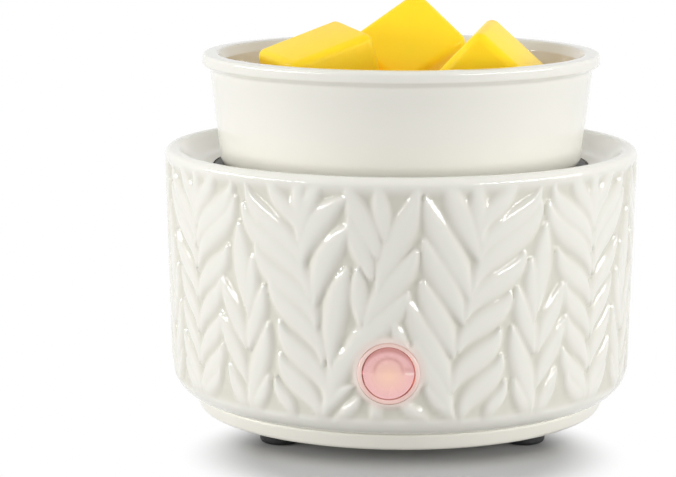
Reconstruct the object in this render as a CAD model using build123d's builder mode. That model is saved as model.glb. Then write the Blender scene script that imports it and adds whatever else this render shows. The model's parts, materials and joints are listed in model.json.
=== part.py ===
from build123d import *
import os
from math import cos, radians, sin, sqrt, tan

# Electric wax melt warmer, in millimetres.
# Z points up from the table, the switch faces -Y, and the origin is on the table,
# on the axis of the round body.

# Feet: round rubber pads let into the underside
FOOT_DIAMETER = 11.4
FOOT_HEIGHT = 3.5
FOOT_EDGE_ROUND = 1.2
FOOT_SOCKET_DEPTH = 0.6
FOOT_CLEARANCE = 0.15
FOOT_INSET = 9.9
FOOT_TURN = 4
FOOT_ANGLES = {
    "foot_front_left": 225,
    "foot_front_right": 315,
    "foot_rear_left": 135,
    "foot_rear_right": 45,
}

# Base cover: a plain ring with a floor, and a lip that centres the body
BASE_HEIGHT = 4.7
BASE_SET_BACK = 0.9
BASE_TAPER = 1.8
BASE_EDGE_ROUND = 1.6
BASE_TOP_ROUND = 0.5
BASE_FLOOR = 2.2
LIP_HEIGHT = 3.6
LIP_THICKNESS = 2.0
LIP_CLEARANCE = 0.4
VENT_COUNT = 6
VENT_RADIUS = 16.0
VENT_LENGTH = 11.0
VENT_WIDTH = 2.4

# Gasket in the seam between the base and the body
SEAM_GASKET = 0.4
SEAM_GASKET_INSET = 0.7

# Ceramic body
BODY_HEIGHT = 68.5
RIM_RADIUS = 66.0
WALL_FLARE = 1.5
BELLY_HEIGHT = 7.9
SKIRT_TUCK = 5.2
RIM_WIDTH = 3.6
RIM_OUTER_ROUND = 2.1
RIM_INNER_ROUND = 2.6
WELL_DEPTH = 5.3
WELL_SLOPE = 4.8
WELL_FLANGE = 5.0
WELL_ROUND = 5.0
BODY_WALL = 4.2
OPENING_LAND = 5.7
OPENING_RING = 4.0
LEDGE_THICKNESS = 3.4
LEDGE_WIDTH = 4.7
INNER_ROUND = 2.5
BODY_EDGE = 0.6

# Leaf relief: straight V grooves between the leaves of upright stems. A groove is the angle from its
# stem in degrees and the height above the body's lower edge, at its low end and at its high end
GROOVE_DEPTH = 0.7
GROOVE_SPREAD = 1.9
GROOVE_STAND = 1.2
GROOVE_MARGIN = 1.6
SWITCH_STEM_GROOVES = (
    (-2, 41.9, 5.5, 53.4),
    (-2.5, 32.9, 5, 41.9),
    (-9.3, 24.4, 0.5, 34.9),
    (-1.6, 54.4, -3.8, 63.4),
    (-3.3, 49.9, -9.3, 62.4),
    (-4.3, 44.4, -8.6, 56.9),
    (-6.8, 32.9, -7.4, 44.4),
)
FRONT_STEM_GROOVES = (
    (22, 56.9, 31, 63.9),
    (21.4, 48.4, 34, 57.9),
    (20.1, 40.9, 35, 53.4),
    (18.2, 32.9, 31, 43.4),
    (16.5, 23.9, 28, 33.9),
    (17.6, 9.9, 25.5, 23.9),
    (22, 5.9, 27.5, 15.4),
    (20.4, 52.9, 18, 60.9),
    (18.8, 43.4, 10.5, 60.9),
    (16.4, 36.4, 9, 51.4),
    (14.6, 29.4, 9.3, 41.4),
    (13.9, 19.9, 5.8, 33.9),
    (13, 13.9, 7.2, 23.7),
    (14.6, 8.4, 8.8, 14.6),
    (20.8, 51.4, 17.4, 35.4),
    (17.2, 34.4, 14.6, 20.4),
    (14.5, 19.4, 16, 6.4),
)
TALL_STEM_GROOVES = (
    (1.3, 53.4, 9, 63.9),
    (1.3, 47.9, 13.5, 58.9),
    (1.3, 40.4, 15, 53.4),
    (1.3, 32.4, 12, 43.4),
    (1.3, 23.4, 10.8, 33.9),
    (1.3, 14.4, 10.5, 24.9),
    (1.3, 6.4, 9.5, 16.4),
)
TALL_STEM_LINE = (0, 6.4, 0, 52.4)
SHORT_STEM_GROOVES = (
    (-1.2, 31.9, -3, 42.4),
    (-1.2, 22.4, -5.2, 35.4),
    (-1.2, 7.9, -6.5, 24.4),
    (1.4, 36.4, 2.2, 51.4),
    (1.3, 22.9, 7.5, 37.4),
    (1.3, 12.4, 9, 27.4),
    (1.3, 5.9, 6, 14.4),
    (0, 6.4, 0, 34.4),
)
TALL_STEMS = (54, 90, 126, 162)
SHORT_STEMS = (36, 72, 108, 144)
BACK_STEM = 180

# Hot plate on its silicone gasket
PLATE_THICKNESS = 2.0
PLATE_EDGE = 0.4
PLATE_GAP = 0.4
PLATE_GASKET = 1.0
PLATE_GASKET_INSET = 1.0

# Heater stack under the plate: element, mica, fibre pad, steel pan
HEATER_RADIUS = 30.0
HEATER_THICKNESS = 1.6
MICA_THICKNESS = 0.5
PAD_THICKNESS = 4.0
STACK_CLEARANCE = 0.5
SHIELD_THICKNESS = 0.6
SHIELD_TOP_GAP = 0.5
SHIELD_SCREW_REACH = 6.0
SHIELD_SCREW_COUNT = 3
SHIELD_BOSS_RADIUS = 3.2
SHIELD_BOSS_HEIGHT = 3.2
EAR_WIDTH = 7.0
EAR_MARGIN = 3.6
LEAD_HOLE_CLEARANCE = 0.6
HEATER_LEAD_SPACING = 10.0
HEATER_LEAD_OFFSET = 20.0

# Thermal fuse in a clip under the steel pan
FUSE_RADIUS = 2.0
FUSE_LENGTH = 11.0
FUSE_OFFSET = -10.0
FUSE_CLEARANCE = 0.1
FUSE_ROUND = 0.5
CLIP_THICKNESS = 0.5
CLIP_WIDTH = 5.0
CLIP_FLANGE = 3.0

# Screws and tie rods that clamp the body between the plate and the base
SCREW_RADIUS = 1.5
SCREW_HEAD_RADIUS = 2.8
SCREW_HEAD_HEIGHT = 2.0
SCREW_THREAD_CLEARANCE = 0.05
SCREW_HOLE_CLEARANCE = 0.15
SCREW_GRIP = 6.0
SCREW_END_GAP = 0.6
HEAD_RECESS = 0.6
HEAD_CLEARANCE = 0.3
SLOT_WIDTH = 0.8
SLOT_DEPTH = 0.9
TIE_COUNT = 3
TIE_INSET = 6.5
TIE_START_ANGLE = 60.0
TIE_ACROSS_FLATS = 5.5
TIE_BOSS_RADIUS = 4.0
TIE_BOSS_HEIGHT = 3.0
BASE_BOSS_RADIUS = 4.5
BASE_BOSS_HEIGHT = 6.0

# Switch: a round lit rocker in a snap-in housing
SWITCH_HEIGHT = 26.0
BEZEL_RADIUS = 8.2
BEZEL_THICKNESS = 2.0
BEZEL_ROUND = 0.5
BEZEL_INSET = 0.25
BEZEL_CLEARANCE = 0.3
BARREL_RADIUS = 7.4
BARREL_DEPTH = 14.5
BARREL_CLEARANCE = 0.1
ROCKER_RADIUS = 6.7
ROCKER_CLEARANCE = 0.3
ROCKER_SINK = 0.3
ROCKER_BACK = 4.2
ROCKER_TILT = 7.0
PIVOT_DEPTH = 1.2
PIVOT_RADIUS = 0.6
PIVOT_REACH = 0.9
PIVOT_CLEARANCE = 0.05
PIVOT_END_GAP = 0.1
NOSE_LENGTH = 8.5
NOSE_THICKNESS = 1.6
NOSE_WIDTH = 3.0
POCKET_DEPTH = 6.5
CHAMBER_WIDTH = 4.8
CHAMBER_HEIGHT = 11.0
HOUSING_FLOOR = 2.0
BARB_WIDTH = 4.0
BARB_LENGTH = 3.0
BARB_STEP = 0.7
BARB_GAP = 0.3
BLADE_THICKNESS = 0.5
BLADE_LENGTH = 10.4
BLADE_WIDTH = 4.0
BLADE_TILT = 8.0
BLADE_RIB_RADIUS = 0.3
BLADE_NOSE_GAP = 0.5
CONTACT_RADIUS = 1.1
CONTACT_THICKNESS = 0.6
CONTACT_OFFSET = 4.1
CONTACT_GAP = 0.3
TERMINAL_WIDTH = 4.2
TERMINAL_THICKNESS = 0.8
TERMINAL_REACH = 8.0
TERMINAL_PITCH = 5.0
TERMINAL_CLEARANCE = 0.05
LAMP_RADIUS = 1.4
LAMP_LENGTH = 7.0
LAMP_OFFSET = 4.2
LAMP_CLEARANCE = 0.1
LAMP_ROUND = 0.7
SPADE_WIDTH = 6.0
SPADE_THICKNESS = 3.0
SPADE_LENGTH = 12.0
SPADE_GAP = 1.0
SPADE_ROUND = 0.6

# Cord entry at the back
GROMMET_HEIGHT = 27.0
GROMMET_BORE_RADIUS = 3.4
GROMMET_RADIUS = 5.0
GROMMET_FLANGE_RADIUS = 7.0
GROMMET_FLANGE = 2.0
GROMMET_SEAT_DEPTH = 1.0
GROMMET_REACH = 8.4
GROMMET_RETAINER_RADIUS = 6.2
GROMMET_RETAINER = 1.6
GROMMET_CLEARANCE = 0.15
GROMMET_GAP = 0.3
GROMMET_ROUND = 0.6

# Terminal block on a pad of the base floor
BLOCK_SIDE_INSET = 27.2
BLOCK_BACK_INSET = 25.2
BLOCK_WIDTH = 20.0
BLOCK_DEPTH = 12.0
BLOCK_HEIGHT = 10.0
BLOCK_PAD = 3.0
BLOCK_EDGE = 0.8
BLOCK_POLE_PITCH = 10.0
BLOCK_LOW_LEAD = 3.0
BLOCK_HIGH_LEAD = 6.5
CLAMP_RADIUS = 1.6
CLAMP_LENGTH = 3.4
CLAMP_ROW = 6.0
CLAMP_WELL = 4.6
CLAMP_CLEARANCE = 0.1
BLOCK_SCREW_RADIUS = 1.2
BLOCK_SCREW_HEAD_RADIUS = 2.1
BLOCK_SCREW_HEAD_HEIGHT = 1.6
BLOCK_SCREW_GRIP = 4.0

# Leads
LEAD_RADIUS = 1.0
BEND_SHARE = 0.45

# Wax dish
DISH_HEIGHT = 31.4
DISH_FOOT_RADIUS = 50.2
DISH_FOOT_ROUND = 3.0
DISH_FLARE = 3.0
DISH_LIP_OVERHANG = 2.1
DISH_LIP_HEIGHT = 4.4
DISH_LIP_FLARE = 1.4
DISH_LIP_ROUND = 1.3
DISH_LIP_UNDER_ROUND = 0.65
DISH_LIP_LAND = 2.0
DISH_LIP_BEVEL = 2.6
DISH_WALL = 3.7
DISH_FLOOR_HEIGHT = 6.4
DISH_FLOOR_ROUND = 8.0
DISH_RING_INSET = 7.2
DISH_RING_HEIGHT = 1.4
DISH_RING_SLOPE = 1.0
DISH_RING_ROUND = 0.5

# Wax melts: tapered cubes from one mould, lying loose in the dish
MELT_BASE = 26.8
MELT_TOP = 25.4
MELT_HEIGHT = 22.5
MELT_ROUND = 2.4
MELT_GAP = 0.3
MELT_LEFT_X = -20.4
MELT_LEFT_Y = -9.5
MELT_MIDDLE_X = 1.4
MELT_MIDDLE_Y = 15.5
MELT_RIGHT_X = 25.6
MELT_RIGHT_Y = -13.7
MELTS = {
    "melt_left": ((MELT_LEFT_X, MELT_LEFT_Y), (95.0, 31.0, 15.0)),
    "melt_middle": ((MELT_MIDDLE_X, MELT_MIDDLE_Y), (139.0, 43.5, -2.0)),
    "melt_right": ((MELT_RIGHT_X, MELT_RIGHT_Y), (12.0, 41.0, -11.0)),
}

# Levels from the table up
base_z = FOOT_HEIGHT
floor_z = base_z + BASE_FLOOR
seam_z = base_z + BASE_HEIGHT
body_z = seam_z + SEAM_GASKET
belly_z = body_z + BELLY_HEIGHT
rim_z = body_z + BODY_HEIGHT
plate_top_z = rim_z - WELL_DEPTH
plate_z = plate_top_z - PLATE_THICKNESS
ledge_z = plate_z - PLATE_GASKET
heater_z = plate_z - HEATER_THICKNESS
mica_z = heater_z - MICA_THICKNESS
pad_z = mica_z - PAD_THICKNESS
shield_z = pad_z - SHIELD_THICKNESS
dish_floor_z = plate_top_z + DISH_FLOOR_HEIGHT
base_boss_z = floor_z + BASE_BOSS_HEIGHT
tie_top_z = plate_z - TIE_BOSS_HEIGHT
screw_seat_z = base_z + HEAD_RECESS + SCREW_HEAD_HEIGHT

# Radii from the rim inwards
belly_radius = RIM_RADIUS - WALL_FLARE
skirt_radius = belly_radius - SKIRT_TUCK
opening_radius = skirt_radius - OPENING_LAND
base_top_radius = skirt_radius - BASE_SET_BACK
base_bottom_radius = base_top_radius - BASE_TAPER
lip_radius = opening_radius - LIP_CLEARANCE
lip_inner_radius = lip_radius - LIP_THICKNESS
foot_circle = base_bottom_radius - FOOT_INSET
block_x = BLOCK_SIDE_INSET - lip_inner_radius
block_y = lip_inner_radius - BLOCK_BACK_INSET
well_radius = RIM_RADIUS - RIM_WIDTH - WELL_SLOPE
seat_radius = well_radius - WELL_FLANGE
plate_radius = seat_radius - PLATE_GAP
ledge_radius = plate_radius - LEDGE_WIDTH
tie_radius = ledge_radius - TIE_INSET
shield_screw_radius = HEATER_RADIUS + SHIELD_SCREW_REACH
dish_neck_radius = DISH_FOOT_RADIUS + DISH_FLARE
dish_lip_radius = dish_neck_radius + DISH_LIP_OVERHANG
dish_lip_inner_radius = dish_neck_radius - DISH_LIP_LAND
dish_ring_radius = DISH_FOOT_RADIUS - DISH_RING_INSET

# Section plane of the turned pieces: radius along X, height along Z
SECTION = Plane.XZ
UNDERSIDE = Plane(origin=(0, 0, base_z), x_dir=(1, 0, 0), z_dir=(0, 0, -1))


def wall_radius(z):
    """Outer radius of the body's straight wall at a height."""
    shoulder_z = rim_z - RIM_OUTER_ROUND
    return belly_radius + (RIM_RADIUS - belly_radius) * (z - belly_z) / (shoulder_z - belly_z)


def save(piece, name):
    """Label a finished piece and write it under its own name."""
    piece.label = name
    export_step(piece, f"parts/{name}.step")


def level(z):
    """Horizontal plane at a height."""
    return Plane.XY.offset(z)


os.makedirs("parts", exist_ok=True)

# Switch planes: the bezel's face looks out of the body, and its Y points up
switch_face_y = BEZEL_INSET - wall_radius(SWITCH_HEIGHT)
SWITCH_FACE = Plane(origin=(0, switch_face_y, SWITCH_HEIGHT), x_dir=(1, 0, 0), z_dir=(0, -1, 0))
pocket_radius = ROCKER_RADIUS + ROCKER_CLEARANCE
pivot_y = switch_face_y + PIVOT_DEPTH
blade_y = pivot_y + NOSE_LENGTH + BLADE_NOSE_GAP + BLADE_THICKNESS
housing_back_y = switch_face_y + BARREL_DEPTH
spade_end_y = housing_back_y + SPADE_GAP + SPADE_LENGTH


def tilted_side(y, angle):
    """Side view through the switch at a pivot, with X inward and Y up, turned about the world X."""
    inward = (0, cos(radians(angle)), sin(radians(angle)))
    return Plane(origin=(0, y, SWITCH_HEIGHT), x_dir=inward, z_dir=(1, 0, 0))


# At rest the upper half of the rocker is pressed in
ROCKER_SIDE = tilted_side(pivot_y, -ROCKER_TILT)
BLADE_SIDE = tilted_side(blade_y, BLADE_TILT)

# Grommet plane: the outer seat at the back, looking out of the body
grommet_seat_y = wall_radius(GROMMET_HEIGHT) - GROMMET_SEAT_DEPTH
GROMMET_SEAT = Plane(origin=(0, grommet_seat_y, GROMMET_HEIGHT), x_dir=(-1, 0, 0), z_dir=(0, 1, 0))


# Leaf relief: cutters for the grooves, left out where they would run into the switch or the grommet
def wall_point(angle, z):
    """Point of the outer wall at an angle from the front."""
    turn = radians(angle)
    return Vector(wall_radius(z) * sin(turn), -wall_radius(z) * cos(turn), z)


def stem_grooves(grooves, stem, lean):
    """Grooves of one side of a stem, as angles from the front."""
    return [(stem + lean * a, low, stem + lean * b, high) for a, low, b, high in grooves]


groove_rows = list(SWITCH_STEM_GROOVES)
groove_rows += stem_grooves(SHORT_STEM_GROOVES, BACK_STEM, 1)
for side in (-1, 1):
    groove_rows += stem_grooves(FRONT_STEM_GROOVES, 0, side)
    for stem in TALL_STEMS:
        groove_rows += stem_grooves([TALL_STEM_LINE], side * stem, 1)
        groove_rows += stem_grooves(TALL_STEM_GROOVES, side * stem, -1)
        groove_rows += stem_grooves(TALL_STEM_GROOVES, side * stem, 1)
    for stem in SHORT_STEMS:
        groove_rows += stem_grooves(SHORT_STEM_GROOVES, side * stem, side)

kept_clear = (
    (SWITCH_FACE.origin, BEZEL_RADIUS + BEZEL_CLEARANCE),
    (GROMMET_SEAT.origin, GROMMET_FLANGE_RADIUS + GROMMET_CLEARANCE),
)
groove_cutters = []
for low_angle, low_height, high_angle, high_height in groove_rows:
    low_end = wall_point(low_angle, body_z + low_height)
    high_end = wall_point(high_angle, body_z + high_height)
    spine = Edge.make_line(low_end, high_end)
    gaps = [spine.distance_to(centre) - radius for centre, radius in kept_clear]
    if min(gaps) < GROOVE_MARGIN or high_end.Z > rim_z - RIM_OUTER_ROUND - GROOVE_MARGIN:
        continue
    run = high_end - low_end
    edges = ((0, -GROOVE_DEPTH), (GROOVE_SPREAD, GROOVE_STAND), (-GROOVE_SPREAD, GROOVE_STAND))
    with BuildSketch(Plane(origin=low_end, x_dir=(low_end + high_end).cross(run), z_dir=run)) as groove:
        Polygon(*edges, align=None)
    groove_cutters.append(extrude(groove.sketch, amount=run.length))


# Ceramic body: turned section with its grooves, then the switch and cord openings
with BuildPart() as ceramic_body:
    with BuildSketch(SECTION):
        with BuildLine():
            skirt = (skirt_radius, body_z)
            belly = (belly_radius, belly_z)
            shoulder = (RIM_RADIUS, rim_z - RIM_OUTER_ROUND)
            wall = Line(belly, shoulder)
            TangentArc(belly, skirt, tangent=(wall % 0) * -1)
            TangentArc(shoulder, (RIM_RADIUS - RIM_OUTER_ROUND, rim_z), tangent=wall % 1)
            ring_top = body_z + OPENING_RING
            inner_belly = belly_radius - BODY_WALL
            FilletPolyline(
                (RIM_RADIUS - RIM_OUTER_ROUND, rim_z),
                (RIM_RADIUS - RIM_WIDTH, rim_z),
                (well_radius, plate_top_z),
                (seat_radius, plate_top_z),
                (seat_radius, ledge_z),
                (ledge_radius, ledge_z),
                (ledge_radius, ledge_z - LEDGE_THICKNESS),
                (RIM_RADIUS - BODY_WALL, ledge_z - LEDGE_THICKNESS),
                (inner_belly, ring_top + inner_belly - opening_radius),
                (opening_radius, ring_top),
                (opening_radius, body_z),
                skirt,
                radius=[
                    RIM_INNER_ROUND,
                    WELL_ROUND,
                    0,
                    0,
                    BODY_EDGE,
                    BODY_EDGE,
                    INNER_ROUND,
                    INNER_ROUND,
                    INNER_ROUND,
                    BODY_EDGE,
                ],
            )
        make_face()
    revolve(axis=Axis.Z)
    add(groove_cutters, mode=Mode.SUBTRACT)
    with BuildSketch(SWITCH_FACE.offset(-BEZEL_THICKNESS)):
        Circle(BEZEL_RADIUS + BEZEL_CLEARANCE)
    extrude(amount=BEZEL_RADIUS, mode=Mode.SUBTRACT)
    with BuildSketch(SWITCH_FACE):
        Circle(BARREL_RADIUS + BARREL_CLEARANCE)
    extrude(amount=-BARREL_DEPTH, mode=Mode.SUBTRACT)
    with BuildSketch(GROMMET_SEAT):
        Circle(GROMMET_FLANGE_RADIUS + GROMMET_CLEARANCE)
    extrude(amount=GROMMET_FLANGE_RADIUS, mode=Mode.SUBTRACT)
    with BuildSketch(GROMMET_SEAT):
        Circle(GROMMET_RADIUS + GROMMET_CLEARANCE)
    extrude(amount=-GROMMET_REACH, mode=Mode.SUBTRACT)
save(ceramic_body.part, "ceramic_body")

# Base cover: floor, outer ring and centring lip, with bosses for the tie screws
block_pad_z = floor_z + BLOCK_PAD
with BuildPart() as base_cover:
    with BuildSketch(SECTION):
        with BuildLine():
            FilletPolyline(
                (0, base_z),
                (base_bottom_radius, base_z),
                (base_top_radius, seam_z),
                (lip_radius, seam_z),
                (lip_radius, seam_z + LIP_HEIGHT),
                (lip_inner_radius, seam_z + LIP_HEIGHT),
                (lip_inner_radius, floor_z),
                (0, floor_z),
                radius=[
                    0,
                    BASE_EDGE_ROUND,
                    BASE_TOP_ROUND,
                    0,
                    BASE_TOP_ROUND,
                    BASE_TOP_ROUND,
                    BASE_TOP_ROUND,
                    0,
                ],
                close=True,
            )
        make_face()
    revolve(axis=Axis.Z)
    with BuildSketch(level(floor_z)):
        with PolarLocations(tie_radius, TIE_COUNT, start_angle=TIE_START_ANGLE):
            Circle(BASE_BOSS_RADIUS)
    extrude(amount=BASE_BOSS_HEIGHT)
    with BuildSketch(level(floor_z)):
        with Locations((block_x, block_y)):
            Rectangle(BLOCK_WIDTH, BLOCK_DEPTH)
    extrude(amount=BLOCK_PAD)
    with BuildSketch(level(base_z)):
        for foot_angle in FOOT_ANGLES.values():
            with Locations(Vector(foot_circle, 0).rotate(Axis.Z, foot_angle + FOOT_TURN)):
                Circle(FOOT_DIAMETER / 2 + FOOT_CLEARANCE)
    extrude(amount=FOOT_SOCKET_DEPTH, mode=Mode.SUBTRACT)
    with BuildSketch(UNDERSIDE):
        with PolarLocations(VENT_RADIUS, VENT_COUNT):
            SlotOverall(VENT_LENGTH, VENT_WIDTH)
    extrude(amount=-BASE_FLOOR, mode=Mode.SUBTRACT)
    with Locations(UNDERSIDE):
        with PolarLocations(tie_radius, TIE_COUNT, start_angle=TIE_START_ANGLE):
            CounterBoreHole(
                radius=SCREW_RADIUS + SCREW_HOLE_CLEARANCE,
                counter_bore_radius=SCREW_HEAD_RADIUS + HEAD_CLEARANCE,
                counter_bore_depth=HEAD_RECESS + SCREW_HEAD_HEIGHT,
            )
    with Locations((block_x, block_y, block_pad_z)):
        Hole(BLOCK_SCREW_RADIUS + SCREW_THREAD_CLEARANCE, depth=BLOCK_SCREW_GRIP + SCREW_END_GAP)
save(base_cover.part, "base_cover")

# Seam gasket
with BuildPart() as base_gasket:
    with BuildSketch(level(seam_z)):
        Circle(base_top_radius - SEAM_GASKET_INSET)
        Circle(opening_radius + SEAM_GASKET_INSET, mode=Mode.SUBTRACT)
    extrude(amount=SEAM_GASKET)
save(base_gasket.part, "base_gasket")

# Rubber feet
for foot_name, foot_angle in FOOT_ANGLES.items():
    with BuildPart() as foot:
        with BuildSketch():
            with Locations(Vector(foot_circle, 0).rotate(Axis.Z, foot_angle + FOOT_TURN)):
                Circle(FOOT_DIAMETER / 2)
        extrude(amount=FOOT_HEIGHT + FOOT_SOCKET_DEPTH)
        fillet(foot.edges().group_by(Axis.Z)[0], FOOT_EDGE_ROUND)
    save(foot.part, foot_name)

# Hot plate with its bosses
shield_boss_z = plate_z - SHIELD_BOSS_HEIGHT
with BuildPart() as hot_plate:
    with BuildSketch(level(plate_z)):
        Circle(plate_radius)
    extrude(amount=PLATE_THICKNESS)
    fillet(hot_plate.edges().group_by(Axis.Z)[-1], PLATE_EDGE)
    with BuildSketch(level(plate_z)):
        with PolarLocations(tie_radius, TIE_COUNT, start_angle=TIE_START_ANGLE):
            Circle(TIE_BOSS_RADIUS)
            Circle(SCREW_RADIUS + SCREW_THREAD_CLEARANCE, mode=Mode.SUBTRACT)
    extrude(amount=-TIE_BOSS_HEIGHT)
    with BuildSketch(level(plate_z)):
        with PolarLocations(shield_screw_radius, SHIELD_SCREW_COUNT):
            Circle(SHIELD_BOSS_RADIUS)
            Circle(SCREW_RADIUS + SCREW_THREAD_CLEARANCE, mode=Mode.SUBTRACT)
    extrude(amount=-SHIELD_BOSS_HEIGHT)
save(hot_plate.part, "hot_plate")

# Gasket under the plate
with BuildPart() as plate_gasket:
    with BuildSketch(level(ledge_z)):
        Circle(plate_radius - PLATE_GASKET_INSET)
        Circle(ledge_radius + PLATE_GASKET_INSET, mode=Mode.SUBTRACT)
    extrude(amount=PLATE_GASKET)
save(plate_gasket.part, "plate_gasket")

# Heater stack: the two heater leads come down through every layer below the element
heater_lead_places = [(0, HEATER_LEAD_OFFSET), (HEATER_LEAD_SPACING, HEATER_LEAD_OFFSET)]
with BuildPart() as heater_element:
    with BuildSketch(level(heater_z)):
        Circle(HEATER_RADIUS)
    extrude(amount=HEATER_THICKNESS)
save(heater_element.part, "heater_element")

for layer_name, layer_z, layer_thickness in (
    ("mica_sheet", mica_z, MICA_THICKNESS),
    ("insulation_pad", pad_z, PAD_THICKNESS),
):
    with BuildPart() as layer:
        with BuildSketch(level(layer_z)):
            Circle(HEATER_RADIUS)
            with Locations(*heater_lead_places):
                Circle(LEAD_RADIUS + LEAD_HOLE_CLEARANCE, mode=Mode.SUBTRACT)
        extrude(amount=layer_thickness)
    save(layer.part, layer_name)

# Steel pan with three ears
shield_inner = HEATER_RADIUS + STACK_CLEARANCE
shield_outer = shield_inner + SHIELD_THICKNESS
ear_start = shield_inner + SHIELD_THICKNESS / 2
ear_end = shield_screw_radius + EAR_MARGIN
with BuildPart() as heat_shield:
    with BuildSketch(SECTION):
        with BuildLine():
            Polyline(
                (0, shield_z),
                (shield_outer, shield_z),
                (shield_outer, plate_z - SHIELD_TOP_GAP),
                (shield_inner, plate_z - SHIELD_TOP_GAP),
                (shield_inner, pad_z),
                (0, pad_z),
                close=True,
            )
        make_face()
    revolve(axis=Axis.Z)
    with BuildSketch(level(shield_boss_z)):
        with PolarLocations((ear_start + ear_end) / 2, SHIELD_SCREW_COUNT):
            Rectangle(ear_end - ear_start, EAR_WIDTH)
        with PolarLocations(shield_screw_radius, SHIELD_SCREW_COUNT):
            Circle(SCREW_RADIUS + SCREW_HOLE_CLEARANCE, mode=Mode.SUBTRACT)
    extrude(amount=-SHIELD_THICKNESS)
    with BuildSketch(level(shield_z)):
        with Locations(*heater_lead_places):
            Circle(LEAD_RADIUS + LEAD_HOLE_CLEARANCE)
    extrude(amount=SHIELD_THICKNESS, mode=Mode.SUBTRACT)
save(heat_shield.part, "heat_shield")

# Screws that hold the pan, heads below the ears
ear_z = shield_boss_z - SHIELD_THICKNESS
with BuildPart() as shield_screws:
    with BuildSketch(level(ear_z)):
        with PolarLocations(shield_screw_radius, SHIELD_SCREW_COUNT):
            Circle(SCREW_HEAD_RADIUS)
    extrude(amount=-SCREW_HEAD_HEIGHT)
    with BuildSketch(level(ear_z)):
        with PolarLocations(shield_screw_radius, SHIELD_SCREW_COUNT):
            Circle(SCREW_RADIUS)
    extrude(amount=SHIELD_THICKNESS + SHIELD_BOSS_HEIGHT - SCREW_END_GAP)
    with BuildSketch(level(ear_z - SCREW_HEAD_HEIGHT)):
        with PolarLocations(shield_screw_radius, SHIELD_SCREW_COUNT):
            Rectangle(2 * SCREW_HEAD_RADIUS, SLOT_WIDTH)
    extrude(amount=SLOT_DEPTH, mode=Mode.SUBTRACT)
save(shield_screws.part, "shield_screws")

# Thermal fuse, lying along Y under the pan, and the clip round it
fuse_z = shield_z - FUSE_RADIUS - FUSE_CLEARANCE
FUSE_END = Plane(origin=(FUSE_OFFSET, -FUSE_LENGTH / 2, fuse_z), x_dir=(-1, 0, 0), z_dir=(0, 1, 0))
with BuildPart() as thermal_fuse:
    with BuildSketch(FUSE_END):
        Circle(FUSE_RADIUS)
    extrude(amount=FUSE_LENGTH)
    fillet(thermal_fuse.edges(), FUSE_ROUND)
save(thermal_fuse.part, "thermal_fuse")

clip_inner = FUSE_RADIUS + FUSE_CLEARANCE
clip_outer = clip_inner + CLIP_THICKNESS
CLIP_PLANE = Plane(origin=(FUSE_OFFSET, -CLIP_WIDTH / 2, fuse_z), x_dir=(-1, 0, 0), z_dir=(0, 1, 0))
with BuildPart() as fuse_clip:
    with BuildSketch(CLIP_PLANE):
        Circle(clip_outer)
        Rectangle(2 * clip_outer, clip_inner, align=(Align.CENTER, Align.MIN))
        with Locations((0, clip_inner)):
            Rectangle(2 * clip_outer, clip_outer, align=(Align.CENTER, Align.MIN), mode=Mode.SUBTRACT)
            Rectangle(2 * (clip_outer + CLIP_FLANGE), CLIP_THICKNESS, align=(Align.CENTER, Align.MAX))
        Circle(clip_inner, mode=Mode.SUBTRACT)
        Rectangle(2 * clip_inner, clip_inner, align=(Align.CENTER, Align.MIN), mode=Mode.SUBTRACT)
    extrude(amount=CLIP_WIDTH)
save(fuse_clip.part, "fuse_clip")

# Hexagonal tie rods, screwed into the plate above and taking a screw below
TIE_NAMES = ("tie_rod_rear", "tie_rod_left", "tie_rod_front")
for tie_index, tie_name in enumerate(TIE_NAMES):
    tie_angle = radians(TIE_START_ANGLE + tie_index * 360 / TIE_COUNT)
    tie_x = tie_radius * cos(tie_angle)
    tie_y = tie_radius * sin(tie_angle)
    with BuildPart() as tie_rod:
        with BuildSketch(Plane(origin=(tie_x, tie_y, base_boss_z))):
            RegularPolygon(TIE_ACROSS_FLATS / 2, 6, major_radius=False)
        extrude(amount=tie_top_z - base_boss_z)
        with BuildSketch(Plane(origin=(tie_x, tie_y, base_boss_z))):
            Circle(SCREW_RADIUS + SCREW_THREAD_CLEARANCE)
        extrude(amount=SCREW_GRIP + SCREW_END_GAP, mode=Mode.SUBTRACT)
        with BuildSketch(Plane(origin=(tie_x, tie_y, tie_top_z))):
            Circle(SCREW_RADIUS)
        extrude(amount=TIE_BOSS_HEIGHT - SCREW_END_GAP)
    save(tie_rod.part, tie_name)

# Screws up through the base into the tie rods
with BuildPart() as base_screws:
    with BuildSketch(level(screw_seat_z)):
        with PolarLocations(tie_radius, TIE_COUNT, start_angle=TIE_START_ANGLE):
            Circle(SCREW_HEAD_RADIUS)
    extrude(amount=-SCREW_HEAD_HEIGHT)
    with BuildSketch(level(screw_seat_z)):
        with PolarLocations(tie_radius, TIE_COUNT, start_angle=TIE_START_ANGLE):
            Circle(SCREW_RADIUS)
    extrude(amount=base_boss_z - screw_seat_z + SCREW_GRIP)
    with BuildSketch(level(screw_seat_z - SCREW_HEAD_HEIGHT)):
        with PolarLocations(tie_radius, TIE_COUNT, start_angle=TIE_START_ANGLE):
            Rectangle(2 * SCREW_HEAD_RADIUS, SLOT_WIDTH)
            Rectangle(SLOT_WIDTH, 2 * SCREW_HEAD_RADIUS)
    extrude(amount=SLOT_DEPTH, mode=Mode.SUBTRACT)
save(base_screws.part, "base_screws")

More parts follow.
